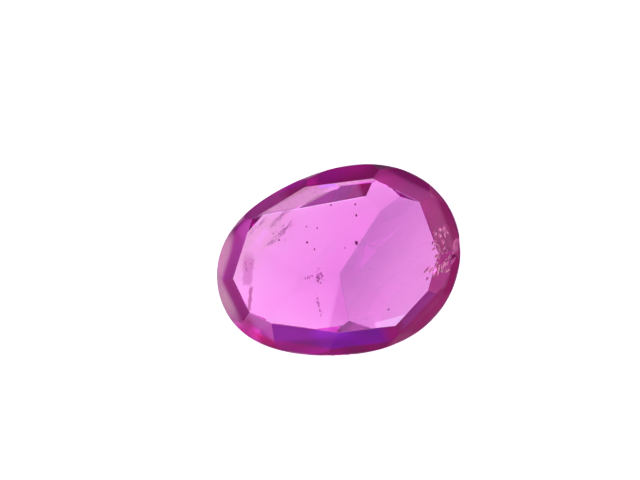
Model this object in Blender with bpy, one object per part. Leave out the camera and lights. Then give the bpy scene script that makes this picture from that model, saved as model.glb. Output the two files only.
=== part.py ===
"""A faceted oval ruby, lying as a loose stone lies: on one broad facet of its underside.

The stone is cut here the way a lapidary cuts it. It starts as an oval block, and every facet
is one flat cut. The block is worked in the stone's own frame, in millimetres: +X along the
long axis, +Z out of the large flat table on top, and the middle of the girdle at height 0.
Directions are in degrees from +X, counter-clockwise as seen from above the table. A facet's
slope is its tilt out of the level of the table. The finished stone is then brought to metres
and laid down on its resting facet.
"""

import math

import bmesh
import bpy
from mathutils import Matrix, Vector

# The girdle outline, seen square to the table, follows an ellipse of this length and width
LENGTH = 7.00
WIDTH = 5.26
# The hand-cut oval is a little off that ellipse: (lobes, share of the radius, first lobe's angle)
OUTLINE_LOBES = ((3, 0.0244, 54.8), (4, 0.0098, 38.2), (5, 0.0064, -3.1))
OUTLINE_POINTS = 96

# Heights above and below the middle of the girdle
GIRDLE_HALF = 0.16
TABLE_HEIGHT = 0.51
BLOCK_DEPTH = 3.5

# Crown: the edges of the table, as (direction they face, distance from the middle)
TABLE_EDGES = (
    (82, 2.20),
    (48, 2.47),
    (5, 2.63),
    (-31, 2.54),
    (-58, 2.31),
    (-99, 1.92),
    (-113, 1.93),
    (-131, 2.36),
    (-169, 2.90),
    (147, 2.73),
    (106, 2.31),
)
# Between neighbours a steeper facet runs up from the girdle, and stops this far short of the table
CROWN_BREAK_SHORT = 0.14

# Pavilion: a ring of steep facets under the girdle, as (direction, slope)
PAVILION_BREAKS = (
    (-106, 58),
    (-80, 60),
    (-34, 60),
    (13, 70),
    (42, 67),
    (52, 71),
    (82, 72),
    (91, 64),
    (124, 61),
    (148, 78),
    (179, 67),
    (-148, 57),
)
# Then the deeper facets, as (direction, slope, distance from the middle at the depth below)
PAVILION_MAIN_DEPTH = 0.60
RESTING_FACET = (-44, 33, 2.49)
PAVILION_MAINS = (
    (125, 24.5, 3.14),
    (106, 39.5, 2.61),
    (-125, 25.5, 3.5),
    (-90, 49.5, 2.5),
    (83, 29, 3.81),
    (163, 28.5, 3.2),
)

SAME_POINT = 1e-4
TO_METRES = 0.001

RUBY_COLOUR = (0.86, 0.20, 0.62, 1.0)
RUBY_ROUGHNESS = 0.02
RUBY_REFRACTION = 1.77


def clear_scene():
    for obj in list(bpy.data.objects):
        bpy.data.objects.remove(obj)


def level_direction(azimuth):
    angle = math.radians(azimuth)
    return Vector((math.cos(angle), math.sin(angle), 0.0))


def facet_normal(azimuth, slope, side):
    """Which way a facet faces. side is 1 above the girdle and -1 below it."""
    tilt = math.radians(slope)
    return level_direction(azimuth) * math.sin(tilt) + Vector((0, 0, side * math.cos(tilt)))


def outline_point(angle):
    """A point of the girdle outline, at an angle of the ellipse that it follows."""
    reach = 1.0
    for lobes, share, first in OUTLINE_LOBES:
        reach += share * math.cos(lobes * (angle - math.radians(first)))
    return Vector((LENGTH / 2 * reach * math.cos(angle), WIDTH / 2 * reach * math.sin(angle), 0.0))


def girdle_outline():
    return [outline_point(2 * math.pi * i / OUTLINE_POINTS) for i in range(OUTLINE_POINTS)]


def reach_of(outline, azimuth):
    """How far the outline reaches in one direction, which is where a facet there meets the girdle."""
    facing = level_direction(azimuth)
    return max(point.dot(facing) for point in outline)


def oval_block(outline):
    """The oval prism that the facets are cut from."""
    bm = bmesh.new()
    floor = [bm.verts.new(point - Vector((0, 0, BLOCK_DEPTH))) for point in outline]
    base = bm.faces.new(reversed(floor))
    raised = bmesh.ops.extrude_face_region(bm, geom=[base])
    top = [item for item in raised["geom"] if isinstance(item, bmesh.types.BMVert)]
    bmesh.ops.translate(bm, verts=top, vec=(0, 0, BLOCK_DEPTH + TABLE_HEIGHT))
    bmesh.ops.recalc_face_normals(bm, faces=bm.faces[:])
    return bm


def cut_facet(bm, azimuth, slope, distance, height, side):
    """One flat cut through a point at that distance and height: what lies beyond it goes."""
    everything = bm.verts[:] + bm.edges[:] + bm.faces[:]
    made = bmesh.ops.bisect_plane(
        bm,
        geom=everything,
        dist=SAME_POINT,
        plane_co=level_direction(azimuth) * distance + Vector((0, 0, height)),
        plane_no=facet_normal(azimuth, slope, side),
        clear_outer=True,
    )
    rim = [item for item in made["geom_cut"] if isinstance(item, bmesh.types.BMEdge)]
    if len(rim) > 2:
        bmesh.ops.contextual_create(bm, geom=rim)


def table_corner(azimuth, distance, next_azimuth, next_distance):
    """Where two edges of the table meet."""
    ahead = level_direction(azimuth)
    beside = level_direction(next_azimuth)
    turn = ahead.x * beside.y - ahead.y * beside.x
    x = (distance * beside.y - next_distance * ahead.y) / turn
    y = (next_distance * ahead.x - distance * beside.x) / turn
    return Vector((x, y, 0.0))


def cut_crown(bm, outline):
    """A facet at each edge of the table, and a steeper one at each of its corners."""
    rise = TABLE_HEIGHT - GIRDLE_HALF
    for azimuth, edge in TABLE_EDGES:
        slope = math.degrees(math.atan2(rise, reach_of(outline, azimuth) - edge))
        cut_facet(bm, azimuth, slope, edge, TABLE_HEIGHT, 1)
    for here, following in zip(TABLE_EDGES, TABLE_EDGES[1:] + TABLE_EDGES[:1]):
        between = level_direction(here[0]) + level_direction(following[0])
        azimuth = math.degrees(math.atan2(between.y, between.x))
        reach = reach_of(outline, azimuth)
        inner = table_corner(*here, *following).dot(level_direction(azimuth)) + CROWN_BREAK_SHORT
        slope = math.degrees(math.atan2(rise, reach - inner))
        cut_facet(bm, azimuth, slope, reach, GIRDLE_HALF, 1)


def cut_pavilion(bm, outline):
    """The underside: the resting facet and the other deep ones, then the steep ring at the girdle."""
    for azimuth, slope, distance in (RESTING_FACET, *PAVILION_MAINS):
        cut_facet(bm, azimuth, slope, distance, -PAVILION_MAIN_DEPTH, -1)
    for azimuth, slope in PAVILION_BREAKS:
        cut_facet(bm, azimuth, slope, reach_of(outline, azimuth), -GIRDLE_HALF, -1)


def laid_down(bm):
    """Turns the stone until its resting facet faces the ground, with the ground at height 0.

    The stone only leans, so its long axis still points along +X as seen from above.
    """
    azimuth, slope, _ = RESTING_FACET
    lean = facet_normal(azimuth, slope, -1).rotation_difference(Vector((0, 0, -1)))
    lean = lean.to_matrix().to_4x4()
    turned = [lean @ vert.co for vert in bm.verts]
    low = Vector(min(point[axis] for point in turned) for axis in range(3))
    high = Vector(max(point[axis] for point in turned) for axis in range(3))
    foot = Vector(((low.x + high.x) / 2, (low.y + high.y) / 2, low.z))
    return Matrix.Translation(-foot * TO_METRES) @ lean


def ruby_material():
    material = bpy.data.materials.new("ruby")
    material.use_nodes = True
    shader = material.node_tree.nodes["Principled BSDF"]
    shader.inputs["Base Color"].default_value = RUBY_COLOUR
    shader.inputs["Roughness"].default_value = RUBY_ROUGHNESS
    shader.inputs["Metallic"].default_value = 0.0
    shader.inputs["IOR"].default_value = RUBY_REFRACTION
    shader.inputs["Transmission Weight"].default_value = 1.0
    return material


def make_ruby():
    outline = girdle_outline()
    bm = oval_block(outline)
    cut_crown(bm, outline)
    cut_pavilion(bm, outline)
    bmesh.ops.remove_doubles(bm, verts=bm.verts[:], dist=SAME_POINT)
    bmesh.ops.recalc_face_normals(bm, faces=bm.faces[:])
    resting = laid_down(bm)
    bmesh.ops.scale(bm, vec=(TO_METRES, TO_METRES, TO_METRES), verts=bm.verts[:])
    mesh = bpy.data.meshes.new("ruby")
    bm.to_mesh(mesh)
    bm.free()
    mesh.materials.append(ruby_material())
    ruby = bpy.data.objects.new("ruby", mesh)
    bpy.context.scene.collection.objects.link(ruby)
    ruby.location = resting.to_translation()
    ruby.rotation_euler = resting.to_euler()
    return ruby


clear_scene()
make_ruby()
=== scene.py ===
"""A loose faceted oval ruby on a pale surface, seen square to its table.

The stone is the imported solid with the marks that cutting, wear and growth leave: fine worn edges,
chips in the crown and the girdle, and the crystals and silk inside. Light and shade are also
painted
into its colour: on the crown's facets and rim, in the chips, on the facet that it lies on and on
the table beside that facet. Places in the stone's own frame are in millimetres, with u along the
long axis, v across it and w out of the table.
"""

import math
import random
from functools import reduce
from operator import mul

import bmesh
import bpy
from bpy.props import FloatProperty, FloatVectorProperty, PointerProperty
from mathutils import Matrix, Vector, noise
from mathutils.bvhtree import BVHTree


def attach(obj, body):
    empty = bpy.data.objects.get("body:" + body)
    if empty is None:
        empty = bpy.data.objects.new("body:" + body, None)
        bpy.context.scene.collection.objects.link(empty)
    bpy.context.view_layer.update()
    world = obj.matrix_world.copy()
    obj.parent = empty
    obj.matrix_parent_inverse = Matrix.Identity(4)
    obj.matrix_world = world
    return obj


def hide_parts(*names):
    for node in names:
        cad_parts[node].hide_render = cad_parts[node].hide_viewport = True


bl_info = {
    "name": "Faceted ruby",
    "version": (1, 0, 0),
    "blender": (4, 5, 0),
    "location": "3D Viewport > Sidebar > Ruby",
    "description": "A loose oval ruby with its inclusions, on a plain pale surface",
    "category": "Object",
}

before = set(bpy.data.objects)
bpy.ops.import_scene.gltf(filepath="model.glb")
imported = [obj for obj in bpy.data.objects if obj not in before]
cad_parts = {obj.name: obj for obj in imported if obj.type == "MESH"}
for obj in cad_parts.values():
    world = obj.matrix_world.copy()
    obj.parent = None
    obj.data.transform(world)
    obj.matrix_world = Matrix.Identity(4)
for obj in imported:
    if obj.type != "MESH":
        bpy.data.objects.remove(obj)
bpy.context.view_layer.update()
CAD_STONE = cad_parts["ruby"]

MM = 0.001
# Points closer than this, in millimetres, are one point
SAME_POINT = 2e-4

# The stone's own frame: heights of the table and of the girdle's edges over the girdle's middle,
# and the middle of the outline's box as seen from the point that the facets are measured from
TABLE_HEIGHT = 0.51
GIRDLE_HALF = 0.16
OUTLINE_MIDDLE = (-0.060, -0.025)

# A packed face whose normal rises more than this is on the upper side, and faces that differ by
# less than this angle are one facet
UPWARD = 0.3
SAME_FACET = math.radians(0.4)

# Numbers that tell worn edges and chips from the facets while the stone is cut. A chip's number
# is the first one and its paleness in tenths.
WORN_FACE = 1
FIRST_CHIP_FACE = 2
LAST_CHIP_FACE = 12

# Small dark crystals under the table: (u, v, depth below the table, size)
DARK_CRYSTALS = (
    (0.56, 0.41, 0.45, 0.088),
    (0.76, 1.15, 0.50, 0.055),
    (0.81, 1.46, 0.42, 0.046),
    (-0.39, 1.10, 0.60, 0.042),
    (-0.67, 1.22, 0.62, 0.040),
    (-0.77, 0.79, 0.70, 0.046),
    (-0.62, 0.55, 0.75, 0.044),
    (-1.51, 1.06, 0.60, 0.048),
    (-1.62, 1.28, 0.58, 0.036),
    (0.21, 0.36, 0.66, 0.036),
    (0.15, 1.62, 0.50, 0.036),
    (0.93, -1.62, 0.40, 0.046),
    (-1.28, 1.42, 0.64, 0.030),
    (0.72, -0.40, 0.90, 0.026),
)
# Clouds of finer crystals: (u, v, depth, half width along u, along v, how many, size)
CRYSTAL_CLOUDS = (
    (-0.74, -0.26, 0.70, 0.05, 0.11, 46, 0.034),
    (-0.62, -0.20, 0.70, 0.04, 0.13, 30, 0.030),
    (-1.02, -0.18, 0.72, 0.16, 0.04, 26, 0.026),
    (-0.91, -1.00, 0.60, 0.04, 0.20, 34, 0.028),
    (-2.50, 0.62, 0.75, 0.16, 0.16, 14, 0.026),
    (-1.45, 1.22, 0.62, 0.30, 0.22, 14, 0.022),
)
# Silk: bands of fine needles, as (u, v of one end, u, v of the other, depth, half width, how many)
SILK_BANDS = (
    (-1.62, 1.50, -0.85, 1.90, 0.45, 0.028, 90),
    (-1.89, 1.84, -1.04, 2.20, 0.40, 0.024, 70),
    (-1.81, 1.02, -1.02, 1.40, 0.55, 0.030, 60),
    (-1.45, 1.20, -0.95, 1.52, 0.50, 0.024, 40),
    (-2.25, 1.45, -1.70, 1.74, 0.42, 0.030, 40),
)
# The slant of the finest silk, in degrees, which veils the table's upper left part
SILK_SLANT = 26
# Where the painted shade on the table beside the ridge of the underside has its upper corner
RIDGE_SHADE_CORNER = (-0.093, -0.298)
# The kite-shaped reflection under the table's upper edge: its left tip, and its upper side's slant
KITE_TIP = (-0.628, 1.782)
KITE_SLANT = 12.9
# The strip that it lies in falls this much for each millimetre along u
STRIP_FALL = 0.09

# Where the finish goes from one part of the stone to the next: heights for the table and for the
# ground, and half the width of the change at the girdle's edges and between the crown's two tiers
TABLE_BEGINS = (TABLE_HEIGHT - 0.012, TABLE_HEIGHT - 0.004)
GROUND_BEGINS = (0.03, 0.01)
TIER_FADE = 0.03

# Zones of the finish. A zone is where all its fades meet. A fade is the direction that it runs in,
# where it begins and where it is full, and for some the point that it is measured from. A direction
# is u, v or w, slanted as the strip is, or degrees from u towards v.
ZONES = {
    # On the crown, where light and shade are painted into the colour
    "painted_reflection_rim": (("w", 0.37, 0.26), ("u", -2.60, -2.95), ("v", -1.1, -0.2)),
    "rim_shade_line": (("w", 0.205, 0.175),),
    "red_end": (("u", -2.70, -2.90), ("v", -0.62, -0.90)),
    "violet_middle": (("u", -1.50, -1.00), ("v", -1.50, -1.70), ("u", 0.2, 0.0), ("w", 0.26, 0.32)),
    "upper_end": (("u", -0.85, -1.25), ("v", 1.20, 1.50)),
    "lower_right": (("u", 0.40, 0.85), ("v", -1.30, -1.50)),
    "lower_right_rim": ((-58, 2.50, 2.58),),
    "lower_right_start": (("u", 1.28, 1.08),),
    # On the table
    "clear_strip": (("slanted", 1.65, 1.69), ("u", 1.15, 0.95)),
    "clear_corner": (("v", -1.855, -1.88), ("u", 0.40, 0.52)),
    "ridge_shade": (
        (-28.5, -0.06, 0.10, RIDGE_SHADE_CORNER),
        (-4.3, 0.01, -0.03, RIDGE_SHADE_CORNER),
        ("v", -0.28, -0.5),
    ),
    "veiled": ((SILK_SLANT + 90, 1.25, 1.85), (SILK_SLANT, 0.3, -0.9)),
    "milky_strip": (("slanted", 1.60, 1.76), ("u", 1.15, 0.95)),
    "over_kite": ((90 + KITE_SLANT, -0.03, 0.04, KITE_TIP),),
    "by_upper_edge": ((82, 2.10, 2.14), ("u", 0.3, 0.6)),
    "by_lower_edge": (("v", -1.58, -1.70), ("u", -0.66, -0.40), ("u", 0.52, 0.24)),
    # On the facet that the stone lies on: painted shade, for the shaded floor under the stone that
    # shows through it
    "painted_shade": ((-44, 2.26, 0.16), ("v", -2.4, -0.2)),
}
# Zones of painted light and shade that cross the crown's facets, as (zone, colour, strength)
CROWN_LIGHT_AND_SHADE_ZONES = (
    ("red_end", "wine", 1.0),
    ("violet_middle", "indigo", 0.6),
    ("upper_end", "plum", 0.8),
)
LOWER_RIGHT_STRENGTH = 0.9
PIT_SHADE_STRENGTH = 0.8
RIM_SHADE_STRENGTH = 0.8

# Two darker marks by the table's left edge. Their long sides run this many degrees off the v axis,
# and their edges are uneven by about this much.
LEFT_MARKS_TURN = 15.3
LEFT_MARKS_UNEVEN = 0.12
# Each is its outer and inner side as (lean, where it begins, where it is full), its foot and head
# as (where it begins, where it is full), its colour and its strength
LEFT_MARKS = (
    ((0.0, -2.78, -2.68), (0.10, -2.38, -2.48), (-0.72, -0.56), (0.36, 0.0), "plum", 0.8),
    ((0.06, -2.54, -2.49), (0.12, -2.34, -2.39), (-1.42, -1.30), (-0.62, -0.74), "wine", 0.9),
)

# Roughness: the table is polished best, the crown less so and unevenly, the girdle is only ground,
# and wear dulls the edges
TABLE_POLISH = 0.004
CROWN_POLISH = 0.30
CROWN_UNEVENNESS = 0.12
GIRDLE_GRIND = 0.34
WORN_DULLNESS = 0.20
CHIP_DULLNESS = 0.12
SKIN_DULLNESS = 0.60
SKIN_UNEVENNESS = 0.3

# Share of the light that the surface scatters where it is whitish: in the girdle, at the pale rim,
# where it is a painted reflection, and in the palest chips, where it is partly a painted glint, and
# then where fine silk lies close under the table
GIRDLE_SKIN = 0.45
RIM_REFLECTION = 0.62
CHIP_SKIN_AND_GLINT = 0.6
STRIP_SILK = 0.22
KITE_SILK = 0.28
UPPER_EDGE_SILK = 0.20
LOWER_EDGE_SILK = 0.32

# Unevenness, as (waves in a millimetre, detail), and for the silk its roughness too
MOTTLE_GRAIN = (0.8, 3.0)
POLISH_GRAIN = (1.4, 3.0)
MARK_GRAIN = (6.0, 3.0)
PIT_GRAIN = (14.0, 3.0)
STREAK_GRAIN = (3.2, 3.0, 0.6)
CRYSTAL_GRAIN = (60.0, 3.0)
NEEDLE_GRAIN = (25.0, 2.0)
FLOOR_GRAIN = (0.35, 4.0)
# Where it begins to show in a colour, and where it shows in full
MOTTLE_SHOWS = (0.35, 0.75)
PITS_SHOW = (0.52, 0.66)
STREAKS_SHOW = (0.25, 0.6)
CRYSTAL_SPECKLE_SHOWS = (0.35, 0.7)
NEEDLE_STREAK_SHOWS = (0.3, 0.7)
FLOOR_GRAIN_SHOWS = (0.3, 0.7)
# The silk's streaks are drawn out along u by this much of their width
STREAK_SHAPE = (0.22, 1.0, 1.0)
# What it multiplies the colours by, and how strongly: in the stone, and in its ground skin
MOTTLE = (0.9, 0.35, 0.75)
MOTTLE_STRENGTH = 0.16
PITS = (0.75, 0.45, 0.60)
PITS_STRENGTH = 0.4

REFRACTION = 1.77

# The height at which the crown's colour by the girdle gives way to the one by the table
CROWN_TIER = 0.29
# The two colours of each facet, painted for the light and shade that it shows from where it faces,
# as (direction that it faces, colour by the table, by the girdle)
CROWN_FACET_LIGHT_AND_SHADE = (
    (82, "crown", "crown"),
    (94, "crown", "crown"),
    (106, "crown", "crown"),
    (126, "orchid", "wine"),
    (147, "lilac", "wine"),
    (169, "plum", "plum"),
    (-169, "plum", "plum"),
    (-150, "plum", "garnet"),
    (-131, "lilac", "garnet"),
    (-122, "lilac", "garnet"),
    (-113, "violet", "mulberry"),
    (-106, "indigo", "crown"),
    (-99, "indigo", "crown"),
    (-78, "crown", "crown"),
    (-58, "lilac", "garnet"),
    (-45, "garnet", "garnet"),
    (-31, "coral", "garnet"),
    (-13, "rose", "crimson"),
    (5, "rose", "crimson"),
    (26, "rose", "crimson"),
    (48, "wine", "crown"),
    # Painted shade, which hides a bright spot of light from the steep facets underneath
    (65, "deep", "deep"),
)

# A chip's paleness is partly its whitish broken surface and partly a painted glint; the crown's
# chips that are not pale get painted shade
# Chips in the crown at the right-hand end, as (u, v, length, width, direction in degrees, how pale)
CROWN_CHIPS = (
    (3.22, -0.36, 0.50, 0.26, 76, 0.6),
    (3.04, -0.72, 0.34, 0.22, 70, 0.0),
    (2.90, 0.145, 0.15, 0.14, 20, 0.9),
    (2.85, -0.02, 0.15, 0.13, 50, 0.6),
    (2.89, -0.20, 0.15, 0.13, 80, 0.8),
    (3.07, 0.07, 0.24, 0.09, -75, 0.7),
    (2.98, 0.00, 0.28, 0.13, 80, 0.0),
    (2.24, -0.84, 0.32, 0.09, 32, 0.0),
    (2.36, -0.86, 0.30, 0.10, 45, 0.7),
    (2.46, -0.90, 0.42, 0.14, 58, 0.0),
    (2.56, -0.92, 0.36, 0.09, 66, 0.6),
    (2.66, -0.88, 0.34, 0.13, 76, 0.0),
    (2.74, -0.84, 0.30, 0.08, 60, 0.7),
    (2.84, -0.80, 0.26, 0.12, 50, 0.0),
    (2.40, -1.02, 0.20, 0.11, 40, 0.0),
    (2.80, -1.02, 0.24, 0.07, 15, 0.5),
)
# Round the girdle, in the same way. There a direction of 0 runs along it and one of 90 across it.
GIRDLE_CHIPS = (
    (3.28, -0.38, 0.56, 0.24, 5, 0.5),
    (-1.02, -2.36, 0.30, 0.15, 0, 0.9),
    (-0.64, -2.56, 0.36, 0.16, 0, 0.8),
    (-0.80, -2.44, 0.20, 0.12, 60, 0.2),
    (-0.40, -2.58, 0.20, 0.12, 0, 0.9),
    (0.85, -2.50, 0.20, 0.12, 0, 0.6),
    (3.35, 0.70, 0.18, 0.09, 0, 0.7),
    (-3.45, -0.40, 0.16, 0.09, 0, 0.7),
)
# How deep a chip is at most and for its width, and the height of the ones along the girdle
CHIP_DEPTH = 0.035
CHIP_STEEPNESS = 0.45
GIRDLE_CHIP_HEIGHT = 0.15
# How unevenly a chip is broken: how many corners it has, how far each strays from its even share of
# the turn, how far it reaches for the chip's size, and how far the deepest point strays
CHIP_CORNERS = (4, 5, 6)
CORNER_STRAY = 0.25
CORNER_REACH = (0.75, 1.15)
TIP_STRAY = 0.15
CHIP_SEED = 41
# From here, outside the stone, a chip's place on the surface is looked for
WELL_ABOVE = 5
WELL_ASIDE = 3
# Crumbled parts of the surface, as (u, v of one end, u, v of the other, half width, how many chips)
CRUMBLED_PARTS = (
    (2.76, 0.14, 2.70, -0.16, 0.04, 8),
    (2.70, -0.16, 2.66, -0.50, 0.05, 14),
    (2.66, -0.50, 2.58, -0.78, 0.05, 12),
    (2.74, -0.22, 2.94, -0.60, 0.07, 12),
    (2.40, -0.92, 2.80, -1.02, 0.05, 8),
    (2.16, -1.12, 2.22, -1.04, 0.02, 2),
    (2.84, 0.14, 3.08, 0.00, 0.05, 6),
)
CRUMB_LENGTHS = (0.07, 0.17)
CRUMB_SLIMNESS = (0.35, 0.65)
# Which way the crumbs run, in degrees, and how much they stray from it
CRUMB_RUN = (55, 28)
CRUMB_PALENESS = (0.0, 0.0, 0.2, 0.4)

# A crystal's surface is this uneven, with about this many bumps across it
CRYSTAL_UNEVENNESS = 0.45
CRYSTAL_BUMPS = 1.6
# How much it may be stretched along u, v and w
CRYSTAL_STRETCH = ((0.8, 1.3), (0.6, 1.0), (0.5, 0.8))
# A cloud reaches this far above and below its depth, and its half width is this many times what its
# specks usually stray
CLOUD_HALF_HEIGHT = 0.12
CLOUD_SPREAD = 1.6
SPECK_SIZES = (0.25, 0.6)
CLOUD_SEED = 7

# The needles of the silk. Their thickness varies by these shares, and they stray this much from the
# way that their band runs.
NEEDLE_SIDES = 4
NEEDLE_LENGTHS = (0.10, 0.34)
NEEDLE_THICKNESSES = (0.6, 1.5)
NEEDLE_STRAY = 0.05
BAND_HALF_HEIGHT = 0.08
SILK_SEED = 23

# The surface lies this far under the stone, in metres, so that the two don't share a plane
FLOOR_GAP = 0.00002
FLOOR_SHADE = (0.80, 0.80, 0.80)
FLOOR_SHADE_STRENGTH = 0.03
FLOOR_LIGHT = (1.0, 0.93, 1.06)
# The soft lights, as (name, direction, height in degrees, size in metres, setting for its power)
LIGHT_DISTANCE = 0.40
SOFT_LIGHTS = (
    ("main_light", -100, 35, 0.20, "key_power"),
    ("second_light", 10, 45, 0.20, "fill_power"),
    ("small_light", -12, 50, 0.05, "glint_power"),
)
# How far the camera stands to the right of the stone, or left where it is negative, and above it
CAMERA_ASIDE = (-0.000587, 0.000624)
# In millimetres, as lenses are measured
FILM_WIDTH = 36
# How often light may turn before it is given up: in all, and by mirroring or passing through
BOUNCES = 32
INNER_BOUNCES = 24


# The frame of the stone in the scene


def largest_upper_face_normal(mesh):
    """The direction that the table faces: it is by far the largest flat face on the upper side."""
    bm = bmesh.new()
    bm.from_mesh(mesh)
    merge_flat_faces(bm, MM)
    upper = [face for face in bm.faces if face.normal.z > UPWARD]
    normal = max(upper, key=lambda face: face.calc_area()).normal.copy()
    bm.free()
    return normal


def merge_flat_faces(bm, unit):
    """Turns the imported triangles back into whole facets."""
    bmesh.ops.remove_doubles(bm, verts=bm.verts[:], dist=SAME_POINT * unit)
    bmesh.ops.dissolve_limit(bm, angle_limit=SAME_FACET, verts=bm.verts[:], edges=bm.edges[:])


def stone_frame():
    """The matrix from the stone's own frame, in millimetres, to the scene, in metres."""
    table_faces = largest_upper_face_normal(CAD_STONE.data)
    turn = Vector((0, 0, 1)).rotation_difference(table_faces).to_matrix()
    points = [turn.inverted() @ vertex.co for vertex in CAD_STONE.data.vertices]
    low = Vector(min(point[axis] for point in points) for axis in range(3))
    high = Vector(max(point[axis] for point in points) for axis in range(3))
    middle = Vector(
        (
            (low.x + high.x) / 2 - OUTLINE_MIDDLE[0] * MM,
            (low.y + high.y) / 2 - OUTLINE_MIDDLE[1] * MM,
            high.z - TABLE_HEIGHT * MM,
        )
    )
    return Matrix.Translation(turn @ middle) @ turn.to_4x4() @ Matrix.Scale(MM, 4)


STONE_FRAME = stone_frame()
LONG_AXIS = STONE_FRAME.col[0].to_3d().normalized()
CROSS_AXIS = STONE_FRAME.col[1].to_3d().normalized()
TABLE_NORMAL = STONE_FRAME.col[2].to_3d().normalized()
STONE_MIDDLE = STONE_FRAME.to_translation()


# Settings that a user would change


def colour(name, description, default):
    """The setting for one colour."""
    return FloatVectorProperty(
        name=name, description=description, subtype="COLOR", size=3, default=default
    )


class RubySizes(bpy.types.PropertyGroup):
    edge_wear: FloatProperty(
        name="Edge wear",
        description="Width of the fine worn line along each facet edge",
        default=0.000009,
        precision=6,
        unit="LENGTH",
    )
    chip_scale: FloatProperty(name="Chip size", description="Size of the small chips", default=1.0)
    crystal_scale: FloatProperty(
        name="Crystal size", description="Size of the crystals inside the stone", default=1.3
    )
    needle_thickness: FloatProperty(
        name="Needle thickness",
        description="Thickness of the silk needles",
        default=0.000006,
        precision=6,
        unit="LENGTH",
    )


class RubyColours(bpy.types.PropertyGroup):
    table: colour("Table", "Colour of the table", (0.8, 0.4, 0.68))
    # Painted shade: the table is darker beside the underside's ridge, where the resting facet shows
    # the shaded floor under the stone
    zone: colour(
        "Growth zone",
        "Colour of the table over the deeper growth zone beside the ridge",
        (0.56, 0.22, 0.48),
    )
    # This white also paints a reflection on the crown's rim at the left-hand end
    clear: colour(
        "Clear zones",
        "Colour of the table's clearest zones, and of the palest part of the crown's rim",
        (1.0, 1.0, 1.0),
    )
    veil: colour(
        "Silk veil", "Colour of the table where the finest silk lies under it", (0.62, 0.36, 0.44)
    )
    milky: colour(
        "Milky silk",
        "Colour of the light that dense fine silk scatters under the table's edges",
        (0.88, 0.26, 0.94),
    )
    silk_light: colour(
        "Silk light",
        "Paler colour of the same light, over the kite-shaped reflection by the upper edge",
        (1.0, 0.52, 0.80),
    )
    # The crown's colours, down to the deep one, are painted light and shade: how light or dark each
    # facet shows from where it faces
    crown: colour("Crown", "Colour of most of the crown", (0.13, 0.0008, 0.044))
    rose: colour(
        "Rose zone",
        "Duller zone of the crown at the right-hand end, by the table",
        (0.64, 0.56, 0.27),
    )
    crimson: colour("Crimson zone", "The same end of the crown, by the girdle", (0.34, 0.05, 0.088))
    coral: colour(
        "Coral zone", "Brighter part of the rose zone, lower at the right", (0.92, 0.58, 0.42)
    )
    garnet: colour("Garnet zone", "Deep red zone of the crown, by the girdle", (0.33, 0.0008, 0.05))
    # Wine is also the painted shade in the dark chips
    wine: colour(
        "Wine zone",
        "Zone of the crown at the upper left and upper right, and the dark chips",
        (0.23, 0.032, 0.1),
    )
    plum: colour("Plum zone", "Zone of the crown at the left-hand end", (0.38, 0.09, 0.25))
    lilac: colour(
        "Lilac zone",
        "Pale cool zone of the crown, on both sides of the violet one",
        (0.36, 0.15, 0.34),
    )
    orchid: colour(
        "Orchid zone", "Paler zone of the crown at the upper left, by the table", (0.66, 0.7, 0.6)
    )
    violet: colour("Violet zone", "Cool zone of the crown below the table", (0.046, 0.0009, 0.12))
    indigo: colour(
        "Indigo zone", "The coolest zone of the crown, beside the violet one", (0.115, 0.0036, 0.62)
    )
    mulberry: colour(
        "Mulberry zone",
        "Zone of the crown by the girdle, below the violet one",
        (0.17, 0.001, 0.11),
    )
    deep: colour(
        "Deep zone",
        "Darkest zone of the crown, and the fine line along its rim",
        (0.016, 0.0005, 0.006),
    )
    mirrored: colour("Surface reflection", "Colour of what the facets mirror", (0.85, 0.12, 0.55))
    underside: colour("Underside", "Colour of the pavilion", (0.95, 0.62, 0.95))
    # Painted shade on the facet that the stone lies on, where it looks onto the shaded floor under
    # the stone
    resting_facet_shade: colour(
        "Resting facet", "Colour of the rubbed facet that the stone lies on", (0.60, 0.46, 0.70)
    )
    ground_skin: colour(
        "Ground surface",
        "Whitish colour of the girdle, which is ground and not polished",
        (0.82, 0.46, 0.6),
    )
    # Partly the whitish broken surface and partly painted glint
    break_and_glint: colour(
        "Fresh breaks", "Colour of the crumbly surface of the chips", (1, 0.26, 0.62)
    )
    crystals: colour("Crystals", "Colour of the dark crystals", (0.4, 0.1, 0.38))
    dust: colour("Crystal dust", "Colour of the clouds", (0.92, 0.4, 0.88))
    needles: colour("Silk", "Colour of the needles", (0.92, 0.34, 0.88))
    absorbed: FloatVectorProperty(
        name="Absorption",
        description="Share of red, green and blue light lost for each millimetre of stone",
        size=3,
        default=(0.020, 0.235, 0.035),
    )


class RubyStage(bpy.types.PropertyGroup):
    floor_size: FloatProperty(
        name="Floor size", description="Side of the floor", default=0.6, unit="LENGTH"
    )
    floor_colour: colour("Floor", "Colour of the floor", (0.86, 0.86, 0.86))
    floor_glow: FloatProperty(
        name="Floor glow", description="Light that the floor gives off", default=0.83
    )
    sky: FloatProperty(
        name="Room light", description="Brightness of the room round the stone", default=0.30
    )
    key_power: FloatProperty(
        name="Main light", description="Power of the main soft light", default=0.45, unit="POWER"
    )
    fill_power: FloatProperty(
        name="Second light", description="Power of the weaker one", default=0.25, unit="POWER"
    )
    glint_power: FloatProperty(
        name="Small light",
        description="Power of the small one that makes the chips glint",
        default=0.2,
        unit="POWER",
    )
    camera_distance: FloatProperty(
        name="Camera distance",
        description="How far the camera is from the middle of the stone",
        default=0.050,
        unit="LENGTH",
    )
    lens: FloatProperty(name="Lens", description="Focal length", default=100.0, unit="CAMERA")
    roll: FloatProperty(
        name="Camera roll",
        description="How far the stone's long axis is turned in the picture",
        default=math.radians(15.3),
        unit="ROTATION",
    )


# Shader building


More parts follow.
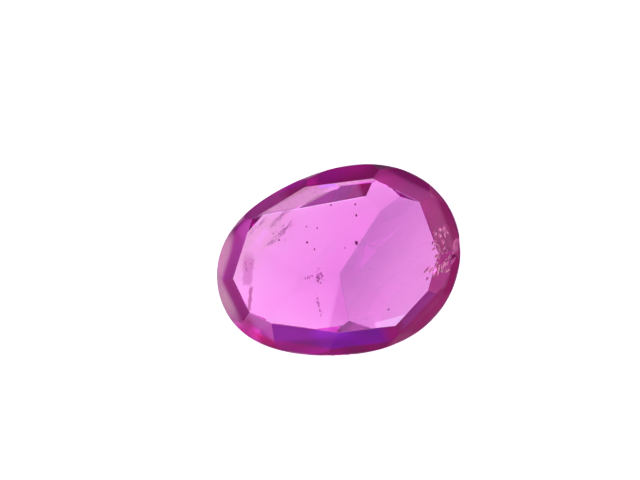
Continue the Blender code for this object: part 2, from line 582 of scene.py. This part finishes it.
class Number:
    """A number in a material's node tree. Arithmetic on it adds the Math nodes."""

    def __init__(self, finish, socket):
        self.finish = finish
        self.socket = socket

    def math(self, operation, *values, clamp=False):
        settings = {"operation": operation, "use_clamp": clamp}
        return self.finish.number("ShaderNodeMath", settings, dict(enumerate(values)))

    def __add__(self, other):
        return self.math("ADD", self, other)

    __radd__ = __add__

    def __sub__(self, other):
        return self.math("SUBTRACT", self, other)

    def __rsub__(self, other):
        return self.math("SUBTRACT", other, self)

    def __mul__(self, other):
        return self.math("MULTIPLY", self, other)

    __rmul__ = __mul__

    def limited(self):
        return self.math("ADD", self, 0.0, clamp=True)

    def rise(self, start, end):
        """0 below start, 1 above end, and smooth between them. Swapped ends give a fall."""
        if start > end:
            return 1 - self.rise(end, start)
        settings = {"interpolation_type": "SMOOTHSTEP"}
        values = {"Value": self, "From Min": start, "From Max": end}
        return self.finish.number("ShaderNodeMapRange", settings, values)


class Finish:
    """A material and the tools to build its node tree."""

    def __init__(self, name):
        self.material = bpy.data.materials.new(name)
        self.material.use_nodes = True
        self.tree = self.material.node_tree
        self.shader = self.tree.nodes["Principled BSDF"]
        self.output = self.tree.nodes["Material Output"]

    def node(self, kind, settings, values):
        """A node of this kind: first its settings, then a value or a link for each socket."""
        node = self.tree.nodes.new(kind)
        for name, value in settings.items():
            setattr(node, name, value)
        for name, value in values.items():
            self.feed(node.inputs[name], value)
        return node

    def feed(self, socket, value):
        if isinstance(value, Number):
            value = value.socket
        if isinstance(value, bpy.types.NodeSocket):
            self.tree.links.new(value, socket)
        elif isinstance(value, (int, float)):
            socket.default_value = value
        else:
            wanted = len(socket.default_value)
            socket.default_value = (tuple(value) + (1.0,))[:wanted]

    def number(self, kind, settings, values, output=0):
        return Number(self, self.node(kind, settings, values).outputs[output])

    def set(self, **values):
        for name, value in values.items():
            self.feed(self.shader.inputs[name.replace("_", " ")], value)

    def position(self):
        return self.node("ShaderNodeTexCoord", {}, {}).outputs["Object"]

    def along(self, axis):
        """How far a point lies along one axis of the stone's own frame, in millimetres."""
        values = {0: self.position(), 1: axis}
        dot = self.node("ShaderNodeVectorMath", {"operation": "DOT_PRODUCT"}, values)
        return (Number(self, dot.outputs["Value"]) - STONE_MIDDLE.dot(axis)) * (1 / MM)

    def marked(self, name):
        """1 on the faces that are marked with this name, and 0 elsewhere."""
        settings = {"attribute_type": "GEOMETRY", "attribute_name": name}
        return self.number("ShaderNodeAttribute", settings, {}, output=2)

    def tint(self, name):
        """The colour that each face carries under this name."""
        settings = {"attribute_type": "GEOMETRY", "attribute_name": name}
        return self.node("ShaderNodeAttribute", settings, {}).outputs["Color"]

    def height(self):
        """How far a point lies above the ground, in millimetres."""
        up = self.node("ShaderNodeSeparateXYZ", {}, {"Vector": self.position()}).outputs["Z"]
        return Number(self, up) * (1 / MM)

    def noise(self, scale, detail, roughness=0.5, place=None):
        """Noise with about that many waves in a millimetre, from 0 to 1."""
        if place is None:
            place = self.position()
        values = {"Vector": place, "Scale": scale / MM, "Detail": detail, "Roughness": roughness}
        return self.number("ShaderNodeTexNoise", {"noise_dimensions": "3D"}, values)

    def streaks(self, slant):
        """Noise drawn out along one direction of the table, from 0 to 1."""
        turned = self.node(
            "ShaderNodeVectorRotate",
            {"rotation_type": "AXIS_ANGLE"},
            {"Vector": self.position(), "Axis": TABLE_NORMAL, "Angle": -math.radians(slant)},
        )
        drawn_out = self.node(
            "ShaderNodeMapping",
            {"vector_type": "POINT"},
            {"Vector": turned.outputs["Vector"], "Scale": STREAK_SHAPE},
        )
        return self.noise(*STREAK_GRAIN, place=drawn_out.outputs["Vector"])

    def mix(self, share, first, second, blend="MIX"):
        """A colour that goes from first to second with share."""
        settings = {"data_type": "RGBA", "blend_type": blend, "clamp_factor": True}
        node = self.node("ShaderNodeMix", settings, {0: share, 6: first, 7: second})
        return node.outputs[2]


# Meshes


def add_piece(name, bm, material, body="root"):
    """A piece from a mesh in the stone's own frame."""
    bm.transform(STONE_FRAME)
    mesh = bpy.data.meshes.new(name)
    bm.to_mesh(mesh)
    bm.free()
    mesh.materials.append(material)
    piece = bpy.data.objects.new(name, mesh)
    bpy.context.scene.collection.objects.link(piece)
    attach(piece, body)
    return piece


def faceted_solid():
    """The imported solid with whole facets, in the stone's own frame."""
    bm = bmesh.new()
    bm.from_mesh(CAD_STONE.data)
    bm.transform(STONE_FRAME.inverted())
    merge_flat_faces(bm, 1.0)
    return bm


def crystal(radius, place, draw):
    """A small uneven crystal inside the stone."""
    bm = bmesh.new()
    bmesh.ops.create_icosphere(bm, subdivisions=2, radius=1.0)
    shift = Vector((draw.uniform(-9, 9), draw.uniform(-9, 9), draw.uniform(-9, 9)))
    for vert in bm.verts:
        vert.co *= 1.0 + CRYSTAL_UNEVENNESS * noise.noise(vert.co * CRYSTAL_BUMPS + shift)
    turn = Matrix.Rotation(draw.uniform(0, 2 * math.pi), 4, "Z")
    stretch = Matrix.Diagonal([draw.uniform(*span) for span in CRYSTAL_STRETCH]).to_4x4()
    bm.transform(Matrix.Translation(place) @ turn @ Matrix.Scale(radius, 4) @ stretch)
    return bm


def chip(place, outward, length, width, direction, draw):
    """What one chip takes out of the surface: a low uneven pyramid to each side of it."""
    bm = bmesh.new()
    corners = draw.choice(CHIP_CORNERS)
    rim = []
    for corner in range(corners):
        angle = 2 * math.pi * (corner + draw.uniform(-CORNER_STRAY, CORNER_STRAY)) / corners
        reach = draw.uniform(*CORNER_REACH) / 2
        x, y = length * reach * math.cos(angle), width * reach * math.sin(angle)
        rim.append(bm.verts.new((x, y, 0)))
    depth = min(CHIP_DEPTH, CHIP_STEEPNESS * width)
    for side in (-1, 1):
        x = length * draw.uniform(-TIP_STRAY, TIP_STRAY)
        y = width * draw.uniform(-TIP_STRAY, TIP_STRAY)
        tip = bm.verts.new((x, y, side * depth))
        for first, second in zip(rim, rim[1:] + rim[:1]):
            bm.faces.new((first, second, tip) if side > 0 else (second, first, tip))
    on_girdle = abs(outward.z) < 0.5
    level = Vector((0, 0, 1)) if on_girdle else Vector((0, 1, 0))
    ahead = level.cross(outward).normalized()
    beside = outward.cross(ahead)
    turn = math.radians(direction)
    run = ahead * math.cos(turn) + beside * math.sin(turn)
    facing = Matrix((run, outward.cross(run), outward)).transposed().to_4x4()
    bm.transform(Matrix.Translation(place) @ facing)
    return bm


def crumbs(draw):
    """Small chips scattered over the crumbled parts, in the same form as the larger ones."""
    chips = []
    for u0, v0, u1, v1, half_width, count in CRUMBLED_PARTS:
        for _ in range(count):
            share = draw.random()
            u = u0 + (u1 - u0) * share + draw.gauss(0, half_width)
            v = v0 + (v1 - v0) * share + draw.gauss(0, half_width)
            length = draw.uniform(*CRUMB_LENGTHS)
            width = length * draw.uniform(*CRUMB_SLIMNESS)
            chips.append((u, v, length, width, draw.gauss(*CRUMB_RUN), draw.choice(CRUMB_PALENESS)))
    return chips


def chips_in_place(tree, scale):
    """Every chip where it meets the surface, with its paleness. They are drawn in a fixed order."""
    draw = random.Random(CHIP_SEED)
    lines_of_sight = []
    for u, v, *form in (*CROWN_CHIPS, *crumbs(draw)):
        lines_of_sight.append((Vector((u, v, WELL_ABOVE)), Vector((0, 0, -1)), *form))
    for u, v, *form in GIRDLE_CHIPS:
        inward = -Vector((u, v, 0)).normalized()
        start = Vector((u, v, GIRDLE_CHIP_HEIGHT)) - inward * WELL_ASIDE
        lines_of_sight.append((start, inward, *form))
    chips = []
    for start, toward, length, width, direction, paleness in lines_of_sight:
        place, outward, _, _ = tree.ray_cast(start, toward)
        shape = chip(place, outward, length * scale, width * scale, direction, draw)
        chips.append((shape, paleness))
    return chips


def join(parts):
    """One mesh from several."""
    whole = bmesh.new()
    for part in parts:
        mesh = bpy.data.meshes.new("part")
        part.to_mesh(mesh)
        part.free()
        whole.from_mesh(mesh)
        bpy.data.meshes.remove(mesh)
    return whole


def temporary_object(name, bm):
    mesh = bpy.data.meshes.new(name)
    bm.to_mesh(mesh)
    bm.free()
    obj = bpy.data.objects.new(name, mesh)
    bpy.context.scene.collection.objects.link(obj)
    return obj


def drop(obj):
    mesh = obj.data
    bpy.data.objects.remove(obj)
    bpy.data.meshes.remove(mesh)


def chipped(bm, chips):
    """The solid with all the chips taken out of it at once, because they overlap.

    The chips' faces keep their number in the result.
    """
    for shape, paleness in chips:
        for face in shape.faces:
            face.material_index = FIRST_CHIP_FACE + round(paleness * 10)
    stone = temporary_object("whole", bm)
    cutters = temporary_object("chips", join([shape for shape, _ in chips]))
    for obj in (stone, cutters):
        for _ in range(LAST_CHIP_FACE + 1):
            obj.data.materials.append(None)
    modifier = stone.modifiers.new("chips", "BOOLEAN")
    modifier.operation = "DIFFERENCE"
    modifier.solver = "EXACT"
    modifier.use_self = True
    modifier.object = cutters
    graph = bpy.context.evaluated_depsgraph_get()
    mesh = bpy.data.meshes.new_from_object(stone.evaluated_get(graph))
    result = bmesh.new()
    result.from_mesh(mesh)
    bpy.data.meshes.remove(mesh)
    drop(cutters)
    drop(stone)
    bmesh.ops.remove_doubles(result, verts=result.verts[:], dist=SAME_POINT)
    bmesh.ops.triangulate(result, faces=result.faces[:])
    open_edges = [edge for edge in result.edges if len(edge.link_faces) != 2]
    if open_edges:
        raise RuntimeError(f"{len(open_edges)} edges of the chipped stone are open")
    return result


def turn_between(first, second):
    """How far apart two directions in degrees are."""
    return abs((first - second + 180) % 360 - 180)


def paint_crown_light_and_shade(bm):
    """Gives each face the two colours of painted light and shade of the crown facet that it lies
    in.
    """
    colours = bpy.context.scene.ruby_colours
    by_table = bm.faces.layers.float_color.new("by_table")
    by_girdle = bm.faces.layers.float_color.new("by_girdle")
    for face in bm.faces:
        of_facet = face.material_index < FIRST_CHIP_FACE
        faces_to = face.normal if of_facet else face.calc_center_median()
        azimuth = math.degrees(math.atan2(faces_to.y, faces_to.x))
        _, upper, lower = min(CROWN_FACET_LIGHT_AND_SHADE, key=lambda tint: turn_between(tint[0], azimuth))
        face[by_table] = (*getattr(colours, upper), 1.0)
        face[by_girdle] = (*getattr(colours, lower), 1.0)


def mark_wear(bm):
    """Turns the numbers of the worn and chipped faces into marks that the finish can read."""
    worn = bm.faces.layers.float.new("worn")
    chipped_off = bm.faces.layers.float.new("chipped")
    pale = bm.faces.layers.float.new("pale")
    for face in bm.faces:
        face[worn] = float(face.material_index == WORN_FACE)
        face[chipped_off] = float(face.material_index >= FIRST_CHIP_FACE)
        face[pale] = max(face.material_index - FIRST_CHIP_FACE, 0) / 10
        face.material_index = 0


def needle(place, direction, length, thickness):
    """A fine needle, pointed at both ends."""
    bm = bmesh.new()
    ring = []
    for side in range(NEEDLE_SIDES):
        angle = 2 * math.pi * side / NEEDLE_SIDES
        corner = (thickness / 2 * math.cos(angle), thickness / 2 * math.sin(angle), 0)
        ring.append(bm.verts.new(corner))
    for end in (-1, 1):
        tip = bm.verts.new((0, 0, end * length / 2))
        for first, second in zip(ring, ring[1:] + ring[:1]):
            bm.faces.new((first, second, tip) if end > 0 else (second, first, tip))
    facing = Vector((0, 0, 1)).rotation_difference(direction).to_matrix().to_4x4()
    bm.transform(Matrix.Translation(place) @ facing)
    return bm


def silk(bands, thickness, draw):
    """The needles of some bands, in one mesh. They lie nearly along their band."""
    needles = []
    for u0, v0, u1, v1, depth, half_width, count in bands:
        along = Vector((u1 - u0, v1 - v0, 0))
        across = Vector((-along.y, along.x, 0)).normalized()
        for _ in range(count):
            place = Vector((u0, v0, TABLE_HEIGHT - depth)) + along * draw.random()
            place += across * draw.gauss(0, half_width)
            place += Vector((0, 0, draw.uniform(-BAND_HALF_HEIGHT, BAND_HALF_HEIGHT)))
            direction = (along.normalized() + across * draw.gauss(0, NEEDLE_STRAY)).normalized()
            length = draw.uniform(*NEEDLE_LENGTHS)
            thick = thickness * draw.uniform(*NEEDLE_THICKNESSES)
            needles.append(needle(place, direction, length, thick))
    return join(needles)


# Finishes


class Places:
    """Where a point lies on the stone, as numbers that its finish is built from.

    The parts of the surface, such as on_table, are 1 there and 0 elsewhere.
    """

    def __init__(self, finish):
        self.u = finish.along(LONG_AXIS)
        self.v = finish.along(CROSS_AXIS)
        self.w = finish.along(TABLE_NORMAL)
        self.slanted = self.v + STRIP_FALL * self.u
        self.on_table = self.w.rise(*TABLE_BEGINS)
        self.by_table = self.above(CROWN_TIER)
        self.above_girdle = self.above(GIRDLE_HALF)
        self.on_crown = self.above_girdle * (1 - self.on_table)
        self.in_girdle = (1 - self.above_girdle) * self.above(-GIRDLE_HALF)
        self.on_ground = finish.height().rise(*GROUND_BEGINS)
        self.worn = finish.marked("worn")
        self.chipped_off = finish.marked("chipped")
        self.pale = finish.marked("pale")
        self.painted_reflection_rim = self.zone("painted_reflection_rim") * self.above_girdle

    def above(self, height):
        return self.w.rise(height - TIER_FADE, height + TIER_FADE)

    def toward(self, direction, start=(0.0, 0.0)):
        """How far a point lies from start, in a direction in degrees from u towards v."""
        along_u = math.cos(math.radians(direction))
        along_v = math.sin(math.radians(direction))
        return self.u * along_u + self.v * along_v - (start[0] * along_u + start[1] * along_v)

    def zone(self, name):
        """1 in the middle of a zone, and 0 outside it."""
        fades = []
        for direction, begins, full, *start in ZONES[name]:
            if isinstance(direction, str):
                reach = getattr(self, direction)
            else:
                reach = self.toward(direction, *start)
            fades.append(reach.rise(begins, full))
        return reduce(mul, fades)


def crown_light_and_shade(finish, colours, places):
    """The crown's painted light and shade: two colours for each facet, and the zones that cross the
    facets.
    """
    crown = finish.mix(places.by_table, finish.tint("by_girdle"), finish.tint("by_table"))
    for zone, name, strength in CROWN_LIGHT_AND_SHADE_ZONES:
        crown = finish.mix(places.zone(zone) * strength, crown, getattr(colours, name))
    # Painted shade at the crown's lower right
    lower_right = (places.zone("lower_right_rim") + places.zone("lower_right_start")).limited()
    lower_right = lower_right * places.zone("lower_right") * LOWER_RIGHT_STRENGTH
    return finish.mix(lower_right, crown, colours.garnet)


def table_colour(finish, colours, places):
    """The painted shade beside the underside's ridge, the veil of the finest silk, the clear zones
    and the two darker marks.
    """
    # Painted shade beside the underside's ridge
    table = finish.mix(places.zone("ridge_shade"), colours.table, colours.zone)
    veil = places.zone("veiled") * finish.streaks(SILK_SLANT).rise(*STREAKS_SHOW)
    table = finish.mix(veil, table, colours.veil)
    clear = (places.zone("clear_strip") + places.zone("clear_corner")).limited()
    table = finish.mix(clear, table, colours.clear)
    uneven = LEFT_MARKS_UNEVEN * (finish.noise(*MARK_GRAIN) - 0.5)
    aside = places.toward(-LEFT_MARKS_TURN) + uneven
    upward = places.toward(90 - LEFT_MARKS_TURN) + uneven
    for *sides, foot, head, name, strength in LEFT_MARKS:
        mark = upward.rise(*foot) * upward.rise(*head)
        for lean, begins, full in sides:
            mark = mark * (aside - lean * upward).rise(begins, full)
        table = finish.mix(mark * strength, table, getattr(colours, name))
    return table


def stone_colour(finish, colours, places):
    crown = crown_light_and_shade(finish, colours, places)
    shade = finish.mix(places.above_girdle, colours.underside, crown)
    shade = finish.mix(places.on_table, shade, table_colour(finish, colours, places))
    # Painted shade on the facet that the stone lies on
    shade = finish.mix(places.on_ground * places.zone("painted_shade"), shade, colours.resting_facet_shade)
    mottle = finish.noise(*MOTTLE_GRAIN).rise(*MOTTLE_SHOWS) * MOTTLE_STRENGTH
    shade = finish.mix(mottle, shade, MOTTLE, "MULTIPLY")
    # Painted reflection: the crown's rim at the left-hand end turns white
    shade = finish.mix(places.painted_reflection_rim, shade, colours.clear)
    # Painted shade in the chips on the crown that are not pale
    pit_shade = places.chipped_off * (1 - places.pale) * places.on_crown * PIT_SHADE_STRENGTH
    shade = finish.mix(pit_shade, shade, colours.wine)
    # Painted shade: a fine dark line along the crown just above the girdle
    rim_shade_line = places.zone("rim_shade_line") * places.above_girdle * (1 - places.painted_reflection_rim)
    return finish.mix(rim_shade_line * RIM_SHADE_STRENGTH, shade, colours.deep)


def stone_roughness(finish, places):
    crown = places.on_crown * (CROWN_POLISH + CROWN_UNEVENNESS * finish.noise(*POLISH_GRAIN))
    whole = crown + places.in_girdle * GIRDLE_GRIND + places.worn * WORN_DULLNESS
    chips = places.chipped_off * CHIP_DULLNESS
    return TABLE_POLISH + (whole * (1 - places.chipped_off) + chips).limited()


def add_whitish_skin(finish, colours, places):
    """Light scatters where the surface is only ground or freshly broken and in dense silk, and it
    paints a reflection on the crown's rim and, in part, glints on the palest chips.
    """
    by_edge = places.zone("by_upper_edge")
    strip = places.zone("milky_strip")
    over_kite = (places.zone("over_kite") * strip + by_edge).limited()
    silk = strip * STRIP_SILK + over_kite * KITE_SILK + by_edge * UPPER_EDGE_SILK
    silk = (silk + places.zone("by_lower_edge") * LOWER_EDGE_SILK) * places.on_table
    # Painted reflection at the rim, and in part painted glints in the palest chips
    skin = places.in_girdle * GIRDLE_SKIN + places.painted_reflection_rim * RIM_REFLECTION + places.pale * CHIP_SKIN_AND_GLINT
    skin = (skin + silk * (1 - places.chipped_off)).limited()

    silk_colour = finish.mix(over_kite, colours.milky, colours.silk_light)
    skin_colour = finish.mix(places.pale.rise(0, 0.1), colours.ground_skin, colours.break_and_glint)
    unbroken_table = places.on_table * (1 - places.chipped_off)
    skin_colour = finish.mix(unbroken_table, skin_colour, silk_colour)
    pits = finish.noise(*PIT_GRAIN)
    pitted = pits.rise(*PITS_SHOW) * PITS_STRENGTH
    skin_colour = finish.mix(pitted, skin_colour, PITS, "MULTIPLY")
    roughness = SKIN_DULLNESS + SKIN_UNEVENNESS * pits
    ground = finish.node(
        "ShaderNodeBsdfPrincipled", {}, {"Base Color": skin_colour, "Roughness": roughness}
    )
    shaders = {0: skin, 1: finish.shader.outputs["BSDF"], 2: ground.outputs["BSDF"]}
    both = finish.node("ShaderNodeMixShader", {}, shaders)
    finish.tree.links.new(both.outputs["Shader"], finish.output.inputs["Surface"])


def add_absorption(finish, colours):
    """The body of the stone takes most of the green out of the light that crosses it."""
    strongest = max(colours.absorbed)
    kept = [1 - share / strongest for share in colours.absorbed]
    values = {"Color": kept, "Density": strongest / MM}
    absorption = finish.node("ShaderNodeVolumeAbsorption", {}, values)
    finish.tree.links.new(absorption.outputs["Volume"], finish.output.inputs["Volume"])


def ruby_finish():
    colours = bpy.context.scene.ruby_colours
    finish = Finish("ruby")
    places = Places(finish)
    finish.set(
        Base_Color=stone_colour(finish, colours, places),
        Roughness=stone_roughness(finish, places),
        Specular_Tint=colours.mirrored,
        IOR=REFRACTION,
        Transmission_Weight=1.0,
    )
    add_whitish_skin(finish, colours, places)
    add_absorption(finish, colours)
    return finish.material


def crystal_finish(name, colour, opacity):
    finish = Finish(name)
    speckle = finish.noise(*CRYSTAL_GRAIN)
    darker = [0.8 * part for part in colour]
    paler = [1.2 * part for part in colour]
    shade = finish.mix(speckle.rise(*CRYSTAL_SPECKLE_SHOWS), darker, paler)
    finish.set(Base_Color=shade, Roughness=0.35 + 0.2 * speckle, Alpha=opacity)
    return finish.material


def needle_finish(name, colour):
    finish = Finish(name)
    streak = finish.noise(*NEEDLE_GRAIN)
    darker = [0.8 * part for part in colour]
    shade = finish.mix(streak.rise(*NEEDLE_STREAK_SHOWS), colour, darker)
    finish.set(Base_Color=shade, Roughness=0.4, Alpha=0.5)
    return finish.material


def floor_finish():
    stage = bpy.context.scene.ruby_stage
    finish = Finish("pale_surface")
    grain = finish.noise(*FLOOR_GRAIN)
    shaded = grain.rise(*FLOOR_GRAIN_SHOWS) * FLOOR_SHADE_STRENGTH
    shade = finish.mix(shaded, stage.floor_colour, FLOOR_SHADE)
    finish.set(Base_Color=shade, Roughness=0.6 + 0.1 * grain, Specular_IOR_Level=0.1)
    finish.set(Emission_Color=FLOOR_LIGHT, Emission_Strength=stage.floor_glow)
    return finish.material


# Stage


def add_floor(stage):
    half = stage.floor_size / 2
    bm = bmesh.new()
    corners = ((-half, -half), (half, -half), (half, half), (-half, half))
    bm.faces.new([bm.verts.new((x, y, -FLOOR_GAP)) for x, y in corners])
    mesh = bpy.data.meshes.new("floor")
    bm.to_mesh(mesh)
    bm.free()
    mesh.materials.append(floor_finish())
    floor = bpy.data.objects.new("floor", mesh)
    bpy.context.scene.collection.objects.link(floor)


def set_room_light(scene, stage):
    world = bpy.data.worlds.new("room")
    world.use_nodes = True
    background = world.node_tree.nodes["Background"]
    background.inputs["Color"].default_value = (1.0, 1.0, 1.0, 1.0)
    background.inputs["Strength"].default_value = stage.sky
    scene.world = world


def add_soft_light(name, azimuth, elevation, size, power):
    light = bpy.data.lights.new(name, "AREA")
    light.shape = "SQUARE"
    light.size = size
    light.energy = power
    lamp = bpy.data.objects.new(name, light)
    around = math.radians(azimuth)
    above = math.radians(elevation)
    level = math.cos(above)
    away = Vector((math.cos(around) * level, math.sin(around) * level, math.sin(above)))
    lamp.location = away * LIGHT_DISTANCE
    lamp.rotation_mode = "QUATERNION"
    lamp.rotation_quaternion = away.to_track_quat("Z", "Y")
    bpy.context.scene.collection.objects.link(lamp)


def add_camera(scene, stage):
    """The camera looks square onto the table, with the stone a little off the picture's middle."""
    right = LONG_AXIS * math.cos(stage.roll) - CROSS_AXIS * math.sin(stage.roll)
    up = LONG_AXIS * math.sin(stage.roll) + CROSS_AXIS * math.cos(stage.roll)
    place = STONE_MIDDLE + TABLE_NORMAL * stage.camera_distance
    place += right * CAMERA_ASIDE[0] + up * CAMERA_ASIDE[1]
    lens = bpy.data.cameras.new("camera")
    lens.sensor_width = FILM_WIDTH
    lens.lens = stage.lens
    lens.clip_start = 0.001
    lens.clip_end = 10
    camera = bpy.data.objects.new("camera", lens)
    turn = Matrix((right, up, TABLE_NORMAL)).transposed().to_4x4()
    camera.matrix_world = Matrix.Translation(place) @ turn
    scene.collection.objects.link(camera)
    scene.camera = camera


def set_light_paths(scene):
    """A cut stone shows light after many bounces inside it."""
    scene.view_settings.view_transform = "Standard"
    scene.cycles.max_bounces = BOUNCES
    scene.cycles.glossy_bounces = INNER_BOUNCES
    scene.cycles.transmission_bounces = INNER_BOUNCES


# Operators


class RUBY_OT_cut_stone(bpy.types.Operator):
    """The stone: its facets with fine worn edges, and the chips in its crown and girdle"""

    bl_idname = "ruby.cut_stone"
    bl_label = "Cut the stone"

    def execute(self, context):
        sizes = context.scene.ruby_sizes
        solid = faceted_solid()
        tree = BVHTree.FromBMesh(solid)
        bmesh.ops.bevel(
            solid,
            geom=solid.edges[:],
            offset=sizes.edge_wear / MM,
            offset_type="WIDTH",
            segments=1,
            affect="EDGES",
            profile=0.5,
            clamp_overlap=True,
            material=WORN_FACE,
        )
        bmesh.ops.triangulate(solid, faces=solid.faces[:])
        solid = chipped(solid, chips_in_place(tree, sizes.chip_scale))
        paint_crown_light_and_shade(solid)
        mark_wear(solid)
        stone = add_piece("ruby_stone", solid, ruby_finish())
        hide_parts("ruby")
        return {"FINISHED"}


class RUBY_OT_grow_crystals(bpy.types.Operator):
    """The small dark crystals under the table, and the clouds of finer ones"""

    bl_idname = "ruby.grow_crystals"
    bl_label = "Grow the dark crystals"

    def execute(self, context):
        scale = context.scene.ruby_sizes.crystal_scale
        colours = context.scene.ruby_colours
        draw = random.Random(CLOUD_SEED)
        lumps = []
        for number, (u, v, depth, size) in enumerate(DARK_CRYSTALS):
            place = Vector((u, v, TABLE_HEIGHT - depth))
            lumps.append(crystal(size * scale * 0.5, place, random.Random(number)))
        dark = crystal_finish("dark_crystal", colours.crystals, 0.85)
        add_piece("dark_crystals", join(lumps), dark)
        specks = []
        for u, v, depth, half_u, half_v, count, size in CRYSTAL_CLOUDS:
            for _ in range(count):
                x = draw.gauss(u, half_u / CLOUD_SPREAD)
                y = draw.gauss(v, half_v / CLOUD_SPREAD)
                up = draw.uniform(-CLOUD_HALF_HEIGHT, CLOUD_HALF_HEIGHT)
                place = Vector((x, y, TABLE_HEIGHT - depth + up))
                radius = size * scale * draw.uniform(*SPECK_SIZES)
                specks.append(crystal(radius, place, draw))
        dust = crystal_finish("crystal_dust", colours.dust, 0.40)
        add_piece("crystal_clouds", join(specks), dust)
        return {"FINISHED"}


class RUBY_OT_lay_silk(bpy.types.Operator):
    """The silk: bands of fine needles that run nearly the same way"""

    bl_idname = "ruby.lay_silk"
    bl_label = "Lay the silk"

    def execute(self, context):
        draw = random.Random(SILK_SEED)
        colours = context.scene.ruby_colours
        thickness = context.scene.ruby_sizes.needle_thickness / MM
        needles = silk(SILK_BANDS, thickness, draw)
        add_piece("silk", needles, needle_finish("silk", colours.needles))
        return {"FINISHED"}


class RUBY_OT_set_stage(bpy.types.Operator):
    """The pale surface, the soft lights, the room light and the camera"""

    bl_idname = "ruby.set_stage"
    bl_label = "Set the stage"

    def execute(self, context):
        stage = context.scene.ruby_stage
        add_floor(stage)
        set_room_light(context.scene, stage)
        for name, azimuth, elevation, size, power in SOFT_LIGHTS:
            add_soft_light(name, azimuth, elevation, size, getattr(stage, power))
        add_camera(context.scene, stage)
        set_light_paths(context.scene)
        return {"FINISHED"}


class RUBY_PT_panel(bpy.types.Panel):
    """The ruby's pieces, sizes and colours"""

    bl_label = "Ruby"
    bl_idname = "RUBY_PT_panel"
    bl_space_type = "VIEW_3D"
    bl_region_type = "UI"
    bl_category = "Ruby"

    def draw(self, context):
        for operator in OPERATORS:
            self.layout.operator(operator.bl_idname)
        for name in ("ruby_sizes", "ruby_colours", "ruby_stage"):
            settings = getattr(context.scene, name)
            for setting in settings.__annotations__:
                self.layout.prop(settings, setting)


OPERATORS = (RUBY_OT_cut_stone, RUBY_OT_grow_crystals, RUBY_OT_lay_silk, RUBY_OT_set_stage)
CLASSES = (RubySizes, RubyColours, RubyStage, *OPERATORS, RUBY_PT_panel)


def register():
    for cls in CLASSES:
        bpy.utils.register_class(cls)
    bpy.types.Scene.ruby_sizes = PointerProperty(type=RubySizes)
    bpy.types.Scene.ruby_colours = PointerProperty(type=RubyColours)
    bpy.types.Scene.ruby_stage = PointerProperty(type=RubyStage)


def unregister():
    del bpy.types.Scene.ruby_stage
    del bpy.types.Scene.ruby_colours
    del bpy.types.Scene.ruby_sizes
    for cls in reversed(CLASSES):
        bpy.utils.unregister_class(cls)


def main():
    register()
    bpy.ops.ruby.cut_stone()
    bpy.ops.ruby.grow_crystals()
    bpy.ops.ruby.lay_silk()
    bpy.ops.ruby.set_stage()


if __name__ == "__main__":
    main()
